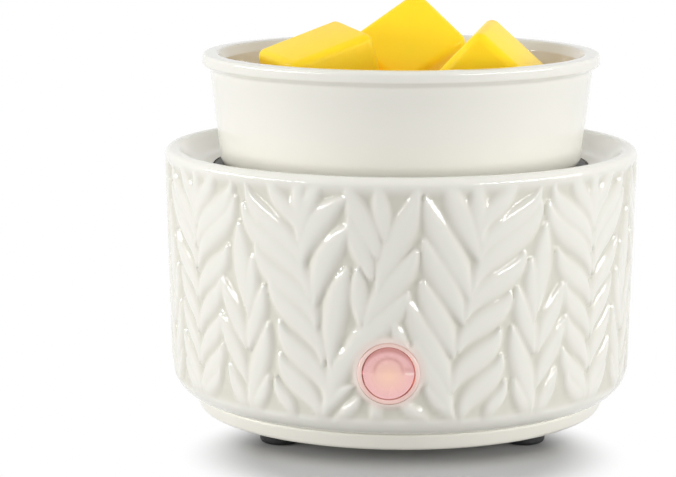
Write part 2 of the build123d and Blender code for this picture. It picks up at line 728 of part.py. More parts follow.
# Switch housing: bezel, barrel with two snap barbs, rocker pocket, contact chamber and lamp trough
terminal_levels = {"terminal_load": -TERMINAL_PITCH, "terminal_line": 0.0, "terminal_lamp": TERMINAL_PITCH}
barb_reach = BARREL_RADIUS + BARB_STEP
barb_y = BARB_GAP - sqrt((wall_radius(SWITCH_HEIGHT) - BODY_WALL) ** 2 - barb_reach**2)
lamp_depth = POCKET_DEPTH + LAMP_RADIUS + LAMP_CLEARANCE
chamber_end = BARREL_DEPTH - HOUSING_FLOOR
with BuildPart() as switch_housing:
    with BuildSketch(SWITCH_FACE):
        Circle(BEZEL_RADIUS)
    extrude(amount=-BEZEL_THICKNESS)
    fillet(switch_housing.edges().group_by(Axis.Y)[0], BEZEL_ROUND)
    with BuildSketch(SWITCH_FACE.offset(-BEZEL_THICKNESS)):
        Circle(BARREL_RADIUS)
    extrude(amount=BEZEL_THICKNESS - BARREL_DEPTH)
    with BuildSketch(Plane(origin=(0, 0, SWITCH_HEIGHT - BARB_WIDTH / 2))):
        with BuildLine():
            Polyline(
                (0, barb_y),
                (barb_reach, barb_y),
                (BARREL_RADIUS, barb_y + BARB_LENGTH),
                (-BARREL_RADIUS, barb_y + BARB_LENGTH),
                (-barb_reach, barb_y),
                close=True,
            )
        make_face()
    extrude(amount=BARB_WIDTH)
    with BuildSketch(SWITCH_FACE):
        Circle(pocket_radius)
    extrude(amount=-POCKET_DEPTH, mode=Mode.SUBTRACT)
    with BuildSketch(SWITCH_FACE):
        Rectangle(CHAMBER_WIDTH, CHAMBER_HEIGHT)
    extrude(amount=-chamber_end, mode=Mode.SUBTRACT)
    with BuildSketch(SWITCH_FACE):
        with Locations((LAMP_OFFSET, 0)):
            Rectangle(2 * (LAMP_RADIUS + LAMP_CLEARANCE), LAMP_LENGTH + 2 * LAMP_CLEARANCE)
    extrude(amount=-(lamp_depth + LAMP_RADIUS + LAMP_CLEARANCE), mode=Mode.SUBTRACT)
    with BuildSketch(SWITCH_FACE):
        with Locations(*[(0, height) for height in terminal_levels.values()]):
            Rectangle(TERMINAL_WIDTH + 2 * TERMINAL_CLEARANCE, TERMINAL_THICKNESS + 2 * TERMINAL_CLEARANCE)
    extrude(amount=-BARREL_DEPTH, mode=Mode.SUBTRACT)
    with BuildSketch(Plane(origin=(0, pivot_y, SWITCH_HEIGHT), x_dir=(0, 1, 0), z_dir=(1, 0, 0))):
        Circle(PIVOT_RADIUS + PIVOT_CLEARANCE)
    extrude(amount=ROCKER_RADIUS + PIVOT_REACH + PIVOT_END_GAP, both=True, mode=Mode.SUBTRACT)
save(switch_housing.part, "switch_housing")

# Rocker: a slice of a ball with a shallow V face, pivot pins and a nose behind
rocker_face = PIVOT_DEPTH - ROCKER_SINK
rocker_flare = ROCKER_RADIUS * tan(radians(ROCKER_TILT))
with BuildPart() as switch_rocker:
    with BuildSketch(ROCKER_SIDE):
        with BuildLine():
            Polyline(
                (-rocker_face, 0),
                (-rocker_face - rocker_flare, ROCKER_RADIUS),
                (ROCKER_BACK, ROCKER_RADIUS),
                (ROCKER_BACK, -ROCKER_RADIUS),
                (-rocker_face - rocker_flare, -ROCKER_RADIUS),
                close=True,
            )
        make_face()
    extrude(amount=ROCKER_RADIUS, both=True)
    with Locations((0, pivot_y, SWITCH_HEIGHT)):
        Sphere(ROCKER_RADIUS, mode=Mode.INTERSECT)
    with BuildSketch(ROCKER_SIDE):
        Circle(PIVOT_RADIUS)
    extrude(amount=ROCKER_RADIUS + PIVOT_REACH, both=True)
    with BuildSketch(ROCKER_SIDE):
        with Locations((NOSE_LENGTH / 2, 0)):
            SlotOverall(NOSE_LENGTH, NOSE_THICKNESS)
    extrude(amount=NOSE_WIDTH / 2, both=True)
save(switch_rocker.part, "switch_rocker")

# Contact blade that the nose rocks over its round rib on the middle terminal
with BuildPart() as contact_blade:
    with BuildSketch(BLADE_SIDE):
        Rectangle(BLADE_THICKNESS, BLADE_LENGTH, align=(Align.MAX, Align.CENTER))
    extrude(amount=BLADE_WIDTH / 2, both=True)
    with BuildSketch(BLADE_SIDE):
        Circle(BLADE_RIB_RADIUS)
    extrude(amount=BLADE_WIDTH / 2, both=True)
    with BuildSketch(Plane(BLADE_SIDE.origin, x_dir=(1, 0, 0), z_dir=BLADE_SIDE.x_dir)):
        with Locations((0, CONTACT_OFFSET)):
            Circle(CONTACT_RADIUS)
    extrude(amount=CONTACT_THICKNESS)
save(contact_blade.part, "contact_blade")

# Terminals: the line blade carries the rocking contact, the load blade has the fixed contact
contact_lean = radians(BLADE_TILT)
contact_edge = CONTACT_OFFSET + CONTACT_RADIUS
contact_reach = CONTACT_THICKNESS * cos(contact_lean) + contact_edge * sin(contact_lean)
terminal_fronts = {
    "terminal_load": blade_y + contact_reach + CONTACT_GAP,
    "terminal_line": blade_y + BLADE_RIB_RADIUS + TERMINAL_CLEARANCE,
    "terminal_lamp": switch_face_y + chamber_end - TERMINAL_THICKNESS,
}
for terminal_name, terminal_level in terminal_levels.items():
    terminal_end_y = housing_back_y + TERMINAL_REACH
    terminal_length = terminal_end_y - terminal_fronts[terminal_name]
    with BuildPart() as terminal:
        with BuildSketch(Plane(origin=(0, 0, SWITCH_HEIGHT + terminal_level - TERMINAL_THICKNESS / 2))):
            with Locations((0, terminal_fronts[terminal_name])):
                Rectangle(TERMINAL_WIDTH, terminal_length, align=(Align.CENTER, Align.MIN))
        extrude(amount=TERMINAL_THICKNESS)
    save(terminal.part, terminal_name)

# Lamp behind the rocker
LAMP_END = Plane(origin=(LAMP_OFFSET, switch_face_y + lamp_depth, SWITCH_HEIGHT - LAMP_LENGTH / 2))
with BuildPart() as switch_lamp:
    with BuildSketch(LAMP_END):
        Circle(LAMP_RADIUS)
    extrude(amount=LAMP_LENGTH)
    fillet(switch_lamp.edges().group_by(Axis.Z)[-1], LAMP_ROUND)
save(switch_lamp.part, "switch_lamp")

# Push-on connectors, one on each terminal
SPADE_FRONT = Plane(
    origin=(0, housing_back_y + SPADE_GAP, SWITCH_HEIGHT), x_dir=(-1, 0, 0), z_dir=(0, 1, 0)
)
spade_places = [(0, height) for height in terminal_levels.values()]
with BuildPart() as spade_connectors:
    with BuildSketch(SPADE_FRONT):
        with Locations(*spade_places):
            RectangleRounded(SPADE_WIDTH, SPADE_THICKNESS, SPADE_ROUND)
    extrude(amount=SPADE_LENGTH)
    with BuildSketch(SPADE_FRONT):
        with Locations(*spade_places):
            Rectangle(TERMINAL_WIDTH + 2 * TERMINAL_CLEARANCE, TERMINAL_THICKNESS + 2 * TERMINAL_CLEARANCE)
    extrude(amount=TERMINAL_REACH, mode=Mode.SUBTRACT)
save(spade_connectors.part, "spade_connectors")

# Cord grommet: outer flange on its seat, sleeve through the wall, retainer inside
grommet_wall = wall_radius(GROMMET_HEIGHT) - BODY_WALL
retainer_front = sqrt(grommet_wall**2 - GROMMET_RETAINER_RADIUS**2) - GROMMET_GAP
grommet_depth = grommet_seat_y - retainer_front
with BuildPart() as cord_grommet:
    with BuildSketch(GROMMET_SEAT):
        Circle(GROMMET_FLANGE_RADIUS)
    extrude(amount=GROMMET_FLANGE)
    fillet(cord_grommet.edges().group_by(Axis.Y)[-1], GROMMET_ROUND)
    with BuildSketch(GROMMET_SEAT):
        Circle(GROMMET_RADIUS)
    extrude(amount=-grommet_depth)
    with BuildSketch(GROMMET_SEAT.offset(-grommet_depth)):
        Circle(GROMMET_RETAINER_RADIUS)
    extrude(amount=-GROMMET_RETAINER)
    with BuildSketch(GROMMET_SEAT.offset(GROMMET_FLANGE)):
        Circle(GROMMET_BORE_RADIUS)
    extrude(amount=-(GROMMET_FLANGE + grommet_depth + GROMMET_RETAINER), mode=Mode.SUBTRACT)
save(cord_grommet.part, "cord_grommet")

# Terminal block with its clamp screws and its fixing screw
block_top_z = block_pad_z + BLOCK_HEIGHT
with BuildPart() as terminal_block:
    with BuildSketch(level(block_pad_z)):
        with Locations((block_x, block_y)):
            Rectangle(BLOCK_WIDTH, BLOCK_DEPTH)
    extrude(amount=BLOCK_HEIGHT)
    chamfer(terminal_block.edges().filter_by(Axis.Z), BLOCK_EDGE)
    with BuildSketch(level(block_top_z)):
        with Locations((block_x, block_y)):
            with GridLocations(BLOCK_POLE_PITCH, CLAMP_ROW, 2, 2):
                Circle(CLAMP_RADIUS + CLAMP_CLEARANCE)
    extrude(amount=-CLAMP_WELL, mode=Mode.SUBTRACT)
    with Locations((block_x, block_y, block_top_z)):
        CounterBoreHole(
            radius=BLOCK_SCREW_RADIUS + SCREW_HOLE_CLEARANCE,
            counter_bore_radius=BLOCK_SCREW_HEAD_RADIUS + HEAD_CLEARANCE,
            counter_bore_depth=BLOCK_SCREW_HEAD_HEIGHT + HEAD_RECESS,
        )
save(terminal_block.part, "terminal_block")

with BuildPart() as block_clamp_screws:
    with BuildSketch(level(block_top_z - CLAMP_WELL)):
        with Locations((block_x, block_y)):
            with GridLocations(BLOCK_POLE_PITCH, CLAMP_ROW, 2, 2):
                Circle(CLAMP_RADIUS)
    extrude(amount=CLAMP_LENGTH)
    with BuildSketch(level(block_top_z - CLAMP_WELL + CLAMP_LENGTH)):
        with Locations((block_x, block_y)):
            with GridLocations(BLOCK_POLE_PITCH, CLAMP_ROW, 2, 2):
                Rectangle(2 * CLAMP_RADIUS, SLOT_WIDTH)
    extrude(amount=-SLOT_DEPTH, mode=Mode.SUBTRACT)
save(block_clamp_screws.part, "block_clamp_screws")

block_seat_z = block_top_z - BLOCK_SCREW_HEAD_HEIGHT - HEAD_RECESS
with BuildPart() as block_mount_screw:
    with BuildSketch(level(block_seat_z)):
        with Locations((block_x, block_y)):
            Circle(BLOCK_SCREW_HEAD_RADIUS)
    extrude(amount=BLOCK_SCREW_HEAD_HEIGHT)
    with BuildSketch(level(block_seat_z)):
        with Locations((block_x, block_y)):
            Circle(BLOCK_SCREW_RADIUS)
    extrude(amount=-(block_seat_z - block_pad_z + BLOCK_SCREW_GRIP))
    with BuildSketch(level(block_seat_z + BLOCK_SCREW_HEAD_HEIGHT)):
        with Locations((block_x, block_y)):
            Rectangle(2 * BLOCK_SCREW_HEAD_RADIUS, SLOT_WIDTH)
    extrude(amount=-SLOT_DEPTH, mode=Mode.SUBTRACT)
save(block_mount_screw.part, "block_mount_screw")


# Leads: straight runs joined by arcs as large as the runs allow
def bend_radii(points):
    """Radius of the arc at each inner point of a route."""
    radii = []
    for before, corner, after in zip(points, points[1:], points[2:]):
        arriving = Vector(corner) - Vector(before)
        leaving = Vector(after) - Vector(corner)
        half_turn = radians(arriving.get_angle(leaving) / 2)
        radii.append(BEND_SHARE * min(arriving.length, leaving.length) / tan(half_turn))
    return radii


line_x = block_x - BLOCK_POLE_PITCH / 2
neutral_x = block_x + BLOCK_POLE_PITCH / 2
block_front_y = block_y - BLOCK_DEPTH / 2
low_z = block_pad_z + BLOCK_LOW_LEAD
high_z = block_pad_z + BLOCK_HIGH_LEAD
load_z = SWITCH_HEIGHT - TERMINAL_PITCH
lamp_z = SWITCH_HEIGHT + TERMINAL_PITCH
fuse_end_y = FUSE_LENGTH / 2
fused_x, fused_y = heater_lead_places[0]
heater_x, heater_y = heater_lead_places[1]
LEAD_ROUTES = {
    "lead_line": [
        (line_x, block_front_y, low_z),
        (line_x, block_front_y - 12, low_z),
        (line_x + 5, block_front_y - 28, low_z + 4),
        (line_x + 18, block_front_y - 40, SWITCH_HEIGHT - 3),
        (0, spade_end_y + 11, SWITCH_HEIGHT),
        (0, spade_end_y, SWITCH_HEIGHT),
    ],
    "lead_switched": [
        (0, spade_end_y, load_z),
        (0, spade_end_y + 9, load_z),
        (8, spade_end_y + 17, load_z + 8),
        (8, spade_end_y + 19, load_z + 24),
        (0, spade_end_y + 20, fuse_z - 4),
        (FUSE_OFFSET, -fuse_end_y - 9, fuse_z),
        (FUSE_OFFSET, -fuse_end_y, fuse_z),
    ],
    "lead_fused": [
        (FUSE_OFFSET, fuse_end_y, fuse_z),
        (FUSE_OFFSET, fuse_end_y + 7, fuse_z),
        (FUSE_OFFSET + 4, fused_y - 2, fuse_z - 3),
        (fused_x, fused_y, fuse_z - 4),
        (fused_x, fused_y, heater_z),
    ],
    "lead_neutral": [
        (neutral_x, block_front_y, low_z),
        (neutral_x, block_front_y - 8, low_z),
        (neutral_x + 11, block_front_y - 12, low_z + 9),
        (neutral_x + 22, block_front_y - 9, low_z + 26),
        (heater_x, heater_y, heater_z - 16),
        (heater_x, heater_y, heater_z),
    ],
    "lead_lamp": [
        (neutral_x, block_front_y, high_z),
        (neutral_x, block_front_y - 11, high_z),
        (neutral_x + 7, block_front_y - 26, high_z + 7),
        (neutral_x + 15, block_front_y - 38, lamp_z - 2),
        (0, spade_end_y + 10, lamp_z),
        (0, spade_end_y, lamp_z),
    ],
}
for lead_name, route in LEAD_ROUTES.items():
    with BuildPart() as lead:
        with BuildLine() as lead_path:
            FilletPolyline(*route, radius=bend_radii(route))
        with BuildSketch(Plane(origin=lead_path.line @ 0, z_dir=lead_path.line % 0)):
            Circle(LEAD_RADIUS)
        sweep()
    save(lead.part, lead_name)

# Wax dish: turned section with a flared lip and a foot ring
neck_z = plate_top_z + DISH_HEIGHT - DISH_LIP_HEIGHT
lip_z = plate_top_z + DISH_HEIGHT
with BuildPart() as wax_dish:
    with BuildSketch(SECTION):
        with BuildLine():
            FilletPolyline(
                (0, plate_top_z + DISH_RING_HEIGHT),
                (dish_ring_radius, plate_top_z + DISH_RING_HEIGHT),
                (dish_ring_radius + DISH_RING_SLOPE, plate_top_z),
                (DISH_FOOT_RADIUS, plate_top_z),
                (dish_neck_radius, neck_z),
                (dish_lip_radius, neck_z + DISH_LIP_FLARE),
                (dish_lip_radius, lip_z),
                (dish_lip_inner_radius, lip_z),
                (dish_neck_radius - DISH_WALL, lip_z - DISH_LIP_BEVEL),
                (DISH_FOOT_RADIUS - DISH_WALL, dish_floor_z),
                (0, dish_floor_z),
                radius=[
                    0,
                    DISH_RING_ROUND,
                    DISH_RING_ROUND,
                    DISH_FOOT_ROUND,
                    DISH_LIP_ROUND,
                    DISH_LIP_UNDER_ROUND,
                    DISH_LIP_ROUND,
                    DISH_LIP_ROUND,
                    DISH_LIP_ROUND,
                    DISH_FLOOR_ROUND,
                    0,
                ],
                close=True,
            )
        make_face()
    revolve(axis=Axis.Z)
save(wax_dish.part, "wax_dish")


# Wax melts: each is turned the way it lies, then stood on the floor of the dish
with BuildPart() as melt_blank:
    with BuildSketch(level(-MELT_HEIGHT / 2)):
        Rectangle(MELT_BASE, MELT_BASE)
    with BuildSketch(level(MELT_HEIGHT / 2)):
        Rectangle(MELT_TOP, MELT_TOP)
    loft(ruled=True)
    fillet(melt_blank.edges(), MELT_ROUND)

for melt_name, (melt_place, melt_turn) in MELTS.items():
    melt = Rotation(*melt_turn) * melt_blank.part
    melt_z = dish_floor_z + MELT_GAP - melt.bounding_box().min.Z
    save(Pos(*melt_place, melt_z) * melt, melt_name)
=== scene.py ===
"""Wax melt warmer: the finished look of the part, its studio and its camera."""
import json
import random
from math import asin, cos, pi, radians, sin

import bmesh
import bpy
import numpy as np
from mathutils import Matrix, Vector


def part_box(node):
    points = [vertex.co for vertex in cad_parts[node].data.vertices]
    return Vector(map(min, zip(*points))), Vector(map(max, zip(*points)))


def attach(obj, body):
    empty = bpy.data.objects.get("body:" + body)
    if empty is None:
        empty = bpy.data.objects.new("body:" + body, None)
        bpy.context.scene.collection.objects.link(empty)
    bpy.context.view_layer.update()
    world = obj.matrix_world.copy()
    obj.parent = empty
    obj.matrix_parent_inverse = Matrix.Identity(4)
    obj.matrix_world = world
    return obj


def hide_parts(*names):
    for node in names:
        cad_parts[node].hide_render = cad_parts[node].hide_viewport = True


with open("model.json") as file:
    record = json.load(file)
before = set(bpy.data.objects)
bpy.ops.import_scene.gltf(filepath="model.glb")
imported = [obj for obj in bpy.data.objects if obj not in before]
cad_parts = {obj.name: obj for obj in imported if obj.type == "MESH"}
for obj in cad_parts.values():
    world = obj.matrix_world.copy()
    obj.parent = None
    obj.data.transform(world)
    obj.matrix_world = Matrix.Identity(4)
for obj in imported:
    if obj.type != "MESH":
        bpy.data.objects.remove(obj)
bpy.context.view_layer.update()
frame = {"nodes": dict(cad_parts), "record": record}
nodes = frame["nodes"]

# Sizes of the pieces made here, in millimetres
MM = 0.001
WELD = 0.001 * MM
BODY_FOOT_Z = 8.6
OPENING_TOP_Z = 13.6
BELLY_Z = 16.5
WALL_LOW_Z = 20.3
LEDGE_Z = 68.8
LEDGE_THICK = 3.4
PLATE_TOP_Z = 71.8
RIM_Z = 77.1
RIM_ROUND = 2.1
SHOULDER_Z = RIM_Z - RIM_ROUND
RIM_RADIUS = 66.0
BELLY_RADIUS = 64.5
SKIRT_RADIUS = 59.3
WELL_TOP_RADIUS = 62.4
WELL_TOP_ROUND = 2.6
WELL_FLOOR_RADIUS = 57.6
WELL_FLOOR_ROUND = 5.0
SEAT_RADIUS = 52.6
LEDGE_RADIUS = 47.5
OPENING_RADIUS = 53.6
BODY_WALL = 4.2
INNER_ROUND = 2.5
EDGE_ROUND = 0.6
SWITCH_Z = 26.0
SWITCH_FACE_Y = -64.494
SWITCH_SEAT_RADIUS = 8.21
SWITCH_HOLE_RADIUS = 7.0
SWITCH_CUT = (67, 62.45, 50)
GROMMET_Z = 27.0
GROMMET_SEAT_RADIUS = 7.15
GROMMET_HOLE_RADIUS = 5.15
GROMMET_CUT = (69, 63.97, 52)
DISH_RECESS_Z = 73.2
DISH_RECESS_RADIUS = 43.0
DISH_RING_RADIUS = 44.0
DISH_RING_ROUND = 0.5
DISH_FOOT_RADIUS = 50.2
DISH_FOOT_ROUND = 3.0
DISH_NECK_Z = 98.8
DISH_NECK_RADIUS = 53.2
DISH_LIP_LOW_Z = 100.2
DISH_LIP_Z = 103.2
DISH_LIP_RADIUS = 55.3
DISH_LIP_ROUND = 1.3
DISH_MOUTH_RADIUS = 51.2
DISH_THROAT_Z = 100.6
DISH_THROAT_RADIUS = 49.5
DISH_FLOOR_Z = 78.2
DISH_FLOOR_RADIUS = 46.5
DISH_FLOOR_ROUND = 8.0
MELT_TOP = 25.4
MELT_FOOT = 26.8
MELT_HEIGHT = 22.5
MELT_ROUND = 2.4
LENS_RADIUS = 6.62
LENS_TILT = radians(7)
LENS_STAND = 0.9
LENS_SKIN = 0.16
LENS_BACK = -0.05
LENS_CREASE = 0.3
MARK_RADIUS = 3.75
MARK_HALF = 0.5
MARK_DEPTH = 0.10
PIVOT_DEPTH = 1.2

# Fineness of the meshes: rows along a section, steps round a turn
BODY_STEPS = 660
BELLY_ROWS = 8
WALL_ROWS = 92
RIM_ROWS = 8
HOLE_STEPS = 96
DISH_STEPS = 256
LENS_STEPS = 120
LENS_ROWS = 30


# Shared finishes
def colour(*rgb):
    """Colour with full alpha."""
    return (*rgb, 1.0)


def mottle_group():
    """Two tones clouded into each other, with the cloud as a mask."""
    group = bpy.data.node_groups.new("mottle", "ShaderNodeTree")
    face = group.interface
    face.new_socket("Tone", in_out="INPUT", socket_type="NodeSocketColor")
    face.new_socket("Shade", in_out="INPUT", socket_type="NodeSocketColor")
    face.new_socket("Scale", in_out="INPUT", socket_type="NodeSocketFloat")
    face.new_socket("Colour", in_out="OUTPUT", socket_type="NodeSocketColor")
    face.new_socket("Cloud", in_out="OUTPUT", socket_type="NodeSocketFloat")
    node, link = group.nodes.new, group.links.new
    inlet = node("NodeGroupInput")
    outlet = node("NodeGroupOutput")
    place = node("ShaderNodeTexCoord")
    cloud = node("ShaderNodeTexNoise")
    cloud.inputs["Detail"].default_value = 6.0
    cloud.inputs["Roughness"].default_value = 0.6
    mix = node("ShaderNodeMix")
    mix.data_type = "RGBA"
    link(place.outputs["Object"], cloud.inputs["Vector"])
    link(inlet.outputs["Scale"], cloud.inputs["Scale"])
    link(cloud.outputs["Fac"], mix.inputs["Factor"])
    link(inlet.outputs["Tone"], mix.inputs["A"])
    link(inlet.outputs["Shade"], mix.inputs["B"])
    link(mix.outputs["Result"], outlet.inputs["Colour"])
    link(cloud.outputs["Fac"], outlet.inputs["Cloud"])
    return group


MOTTLE = mottle_group()
GRAIN_DEPTH = 0.4 * MM


def new_material(name):
    """Empty material with its makers of nodes and links and its main shader."""
    material = bpy.data.materials.new(name)
    material.use_nodes = True
    return material, *workbench(material)


def workbench(material):
    """Makers of nodes and links of a material, and its main shader."""
    tree = material.node_tree
    return tree.nodes.new, tree.links.new, tree.nodes["Principled BSDF"]


def finish(name, tone, shade, scale, rough, bump=0.0, **sockets):
    """Material with clouded colour and gloss; other sockets are set as they are."""
    material, node, link, shader = new_material(name)
    cloud = node("ShaderNodeGroup")
    cloud.node_tree = MOTTLE
    cloud.inputs["Tone"].default_value = colour(*tone)
    cloud.inputs["Shade"].default_value = colour(*shade)
    cloud.inputs["Scale"].default_value = scale
    gloss = node("ShaderNodeMapRange")
    gloss.inputs["To Min"].default_value = rough[0]
    gloss.inputs["To Max"].default_value = rough[1]
    link(cloud.outputs["Colour"], shader.inputs["Base Color"])
    link(cloud.outputs["Cloud"], gloss.inputs["Value"])
    link(gloss.outputs["Result"], shader.inputs["Roughness"])
    if bump:
        grain = node("ShaderNodeBump")
        grain.inputs["Strength"].default_value = bump
        grain.inputs["Distance"].default_value = GRAIN_DEPTH
        link(cloud.outputs["Cloud"], grain.inputs["Height"])
        link(grain.outputs["Normal"], shader.inputs["Normal"])
    for socket, value in sockets.items():
        shader.inputs[socket.replace("_", " ")].default_value = value
    return material


def clouded(material):
    """Clouded colour of a finish."""
    return next(n for n in material.node_tree.nodes if n.type == "GROUP").outputs["Colour"]


def overlay(material, mask, under, tone):
    """Lay a tone over a colour where a mask says so."""
    node, link, _ = workbench(material)
    mix = node("ShaderNodeMix")
    mix.data_type = "RGBA"
    mix.inputs["B"].default_value = colour(*tone)
    link(mask, mix.inputs["Factor"])
    link(under, mix.inputs["A"])
    return mix.outputs["Result"]


def painted(material, name):
    """Mask kept on the mesh as an attribute."""
    mask = material.node_tree.nodes.new("ShaderNodeAttribute")
    mask.attribute_name = name
    return mask.outputs["Fac"]


def glaze_finish():
    """Cream gloss glaze that pools warmer in the hollows of the carving, with painted shade darkening the
    hollows too, and a painted pink glow round the lit switch.
    """
    material = finish("cream_glaze", (0.85, 0.838, 0.775), (0.82, 0.805, 0.738), 38.0, (0.04, 0.07), IOR=1.52)
    node, link, shader = workbench(material)
    # Painted glow: the lit switch's pink light painted into the glaze round it
    place = node("ShaderNodeTexCoord")
    away = node("ShaderNodeVectorMath")
    away.operation = "DISTANCE"
    away.inputs[1].default_value = (0, SWITCH_FACE_Y * MM, SWITCH_Z * MM)
    glow = node("ShaderNodeMapRange")
    glow.interpolation_type = "SMOOTHSTEP"
    glow.inputs["From Min"].default_value = 11.0 * MM
    glow.inputs["From Max"].default_value = 8.0 * MM
    glow.inputs["To Max"].default_value = 0.42
    link(place.outputs["Object"], away.inputs[0])
    link(away.outputs["Value"], glow.inputs["Value"])
    # Hollows: glaze pooling plus painted shade, a darker warmer tone where shade falls in the grooves
    pool_and_shade = overlay(material, painted(material, "hollow_pool_and_shade"), clouded(material), (0.70, 0.68, 0.595))
    lamp_glow_painted = overlay(material, glow.outputs["Result"], pool_and_shade, (0.88, 0.60, 0.54))
    link(lamp_glow_painted, shader.inputs["Base Color"])
    return material


def lens_finish():
    """Lit translucent cap: painted glow, peach in the middle and pink to the edge; painted shade along the
    top, in the mark and above the crease's end; a painted highlight at the crease's end.
    """
    material = finish(
        "lit_lens", (0.80, 0.47, 0.46), (0.78, 0.45, 0.45), 160.0, (0.22, 0.32), Emission_Strength=0.14
    )
    _, link, shader = workbench(material)
    tint = clouded(material)
    # Painted glow, painted shade and a painted highlight laid over the lens colour
    for name, tone in (
        ("painted_glow", (0.86, 0.55, 0.43)), ("shade", (0.56, 0.24, 0.22)), ("painted_highlight", (0.95, 0.78, 0.72)),
    ):
        tint = overlay(material, painted(material, name), tint, tone)
    link(tint, shader.inputs["Base Color"])
    link(tint, shader.inputs["Emission Color"])
    return material


def wax_finish():
    """Cast wax with a faint painted glow, and painted shade that turns it deeper orange low in the dish."""
    material = finish(
        "yellow_wax", (0.98, 0.71, 0.016), (0.98, 0.64, 0.012), 60.0, (0.30, 0.42), 0.15,
        Specular_IOR_Level=0.3, Subsurface_Weight=0.35, Subsurface_Scale=0.006,
        Subsurface_Radius=(1.0, 0.45, 0.08), IOR=1.44,
        # Faint orange emission: painted glow in the wax, which is no lamp
        Emission_Strength=0.13, Emission_Color=colour(1.0, 0.70, 0.03),
    )
    node, link, shader = workbench(material)
    # Painted shade: deeper, darker orange lower in the dish, by height
    place = node("ShaderNodeTexCoord")
    split = node("ShaderNodeSeparateXYZ")
    depth = node("ShaderNodeMapRange")
    depth.inputs["From Min"].default_value = (DISH_LIP_Z - 1) * MM
    depth.inputs["From Max"].default_value = (DISH_FLOOR_Z + 6) * MM
    link(place.outputs["Object"], split.inputs["Vector"])
    link(split.outputs["Z"], depth.inputs["Value"])
    low_shade_painted = overlay(material, depth.outputs["Result"], clouded(material), (1.0, 0.40, 0.01))
    link(low_shade_painted, shader.inputs["Base Color"])
    return material


FINISHES = {
    "glaze": glaze_finish(),
    "wax": wax_finish(),
    "base_cream": finish("base_cream", (0.90, 0.88, 0.80), (0.87, 0.85, 0.765), 60.0, (0.26, 0.36), 0.05),
    "seal_rubber": finish("seal_rubber", (0.30, 0.27, 0.22), (0.22, 0.20, 0.17), 200.0, (0.6, 0.8), 0.2),
    "foot_rubber": finish("foot_rubber", (0.012, 0.012, 0.013), (0.02, 0.02, 0.02), 260.0, (0.5, 0.75), 0.25),
    "plate_coat": finish("plate_coat", (0.030, 0.028, 0.026), (0.045, 0.042, 0.04), 400.0, (0.42, 0.6), 0.3),
    "silicone": finish("silicone", (0.42, 0.08, 0.05), (0.36, 0.06, 0.04), 120.0, (0.45, 0.6), 0.1),
    "mica": finish("mica", (0.42, 0.34, 0.22), (0.60, 0.52, 0.38), 90.0, (0.25, 0.5), 0.2),
    "fibre": finish("fibre", (0.82, 0.82, 0.78), (0.66, 0.66, 0.62), 700.0, (0.85, 1.0), 0.9),
    "steel": finish("steel", (0.56, 0.57, 0.58), (0.46, 0.47, 0.49), 300.0, (0.26, 0.42), 0.08, Metallic=1.0),
    "fuse_can": finish(
        "fuse_can", (0.72, 0.72, 0.73), (0.62, 0.62, 0.63), 240.0, (0.22, 0.34), 0.05, Metallic=1.0,
    ),
    "brass": finish("brass", (0.72, 0.50, 0.20), (0.60, 0.40, 0.15), 260.0, (0.22, 0.38), 0.06, Metallic=1.0),
    "lamp_glass": finish(
        "lamp_glass", (1.0, 0.62, 0.42), (1.0, 0.55, 0.36), 120.0, (0.03, 0.08),
        Transmission_Weight=0.7, Emission_Strength=0.6, Emission_Color=colour(1.0, 0.35, 0.16),
    ),
    "insulator": finish("insulator", (0.78, 0.78, 0.73), (0.70, 0.70, 0.65), 200.0, (0.35, 0.5), 0.1),
    "grommet_rubber": finish(
        "grommet_rubber", (0.68, 0.655, 0.58), (0.62, 0.60, 0.53), 260.0, (0.5, 0.7), 0.2,
    ),
    "lead_brown": finish("lead_brown", (0.10, 0.035, 0.015), (0.14, 0.05, 0.02), 300.0, (0.4, 0.55), 0.1),
    "lead_blue": finish("lead_blue", (0.02, 0.06, 0.30), (0.03, 0.08, 0.36), 300.0, (0.4, 0.55), 0.1),
    # Pale pink bezel; its faint emission is a painted glow of the lamp's light
    "switch_shell": finish(
        "switch_shell", (0.92, 0.70, 0.64), (0.90, 0.66, 0.60), 200.0, (0.25, 0.38),
        Emission_Strength=0.04, Emission_Color=colour(1.0, 0.66, 0.58),
    ),
    "switch_lens": finish(
        "switch_lens", (0.80, 0.40, 0.38), (0.78, 0.38, 0.36), 160.0, (0.2, 0.3),
        Emission_Strength=0.12, Emission_Color=colour(1.0, 0.50, 0.46),
    ),
}
for row in frame["record"]["subparts"]:
    skin = nodes[row["node"]].data.materials
    skin.clear()
    skin.append(FINISHES[row["material_slot"]])


# Making pieces
def shown(name, data):
    """Object in the scene."""
    made = bpy.data.objects.new(name, data)
    bpy.context.scene.collection.objects.link(made)
    return made


def mesh_of(name, bm):
    """Mesh from a worked shape, which is used up."""
    mesh = bpy.data.meshes.new(name)
    bm.to_mesh(mesh)
    bm.free()
    return mesh


def close_up(bm):
    """Merge doubled points and turn the faces outwards."""
    bmesh.ops.remove_doubles(bm, verts=bm.verts, dist=WELD)
    bmesh.ops.recalc_face_normals(bm, faces=bm.faces)


def piece(name, bm, slot, body, *stands_for, edge):
    """Piece that rides on a body, with its edges sharp from an angle in degrees."""
    close_up(bm)
    mesh = mesh_of(name, bm)
    mesh.shade_smooth()
    mesh.set_sharp_from_angle(angle=radians(edge))
    mesh.materials.append(FINISHES[slot])
    made = shown(name, mesh)
    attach(made, body)
    if stands_for:
        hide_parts(*stands_for)
    return made


def softened(corners, segments):
    """Section line of (radius, height, rounding) corners with each corner rounded."""
    line = []
    count = len(corners)
    for i, (r, z, rounding) in enumerate(corners):
        here = Vector((r, z))
        if not rounding:
            line.append(here)
            continue
        before = Vector(corners[i - 1][:2]) - here
        after = Vector(corners[(i + 1) % count][:2]) - here
        trim = rounding / np.tan(before.angle(after) / 2)
        start = here + before.normalized() * trim
        end = here + after.normalized() * trim
        for k in range(segments + 1):
            t = k / segments
            line.append(start * (1 - t) ** 2 + here * (2 * t * (1 - t)) + end * t ** 2)
    return line


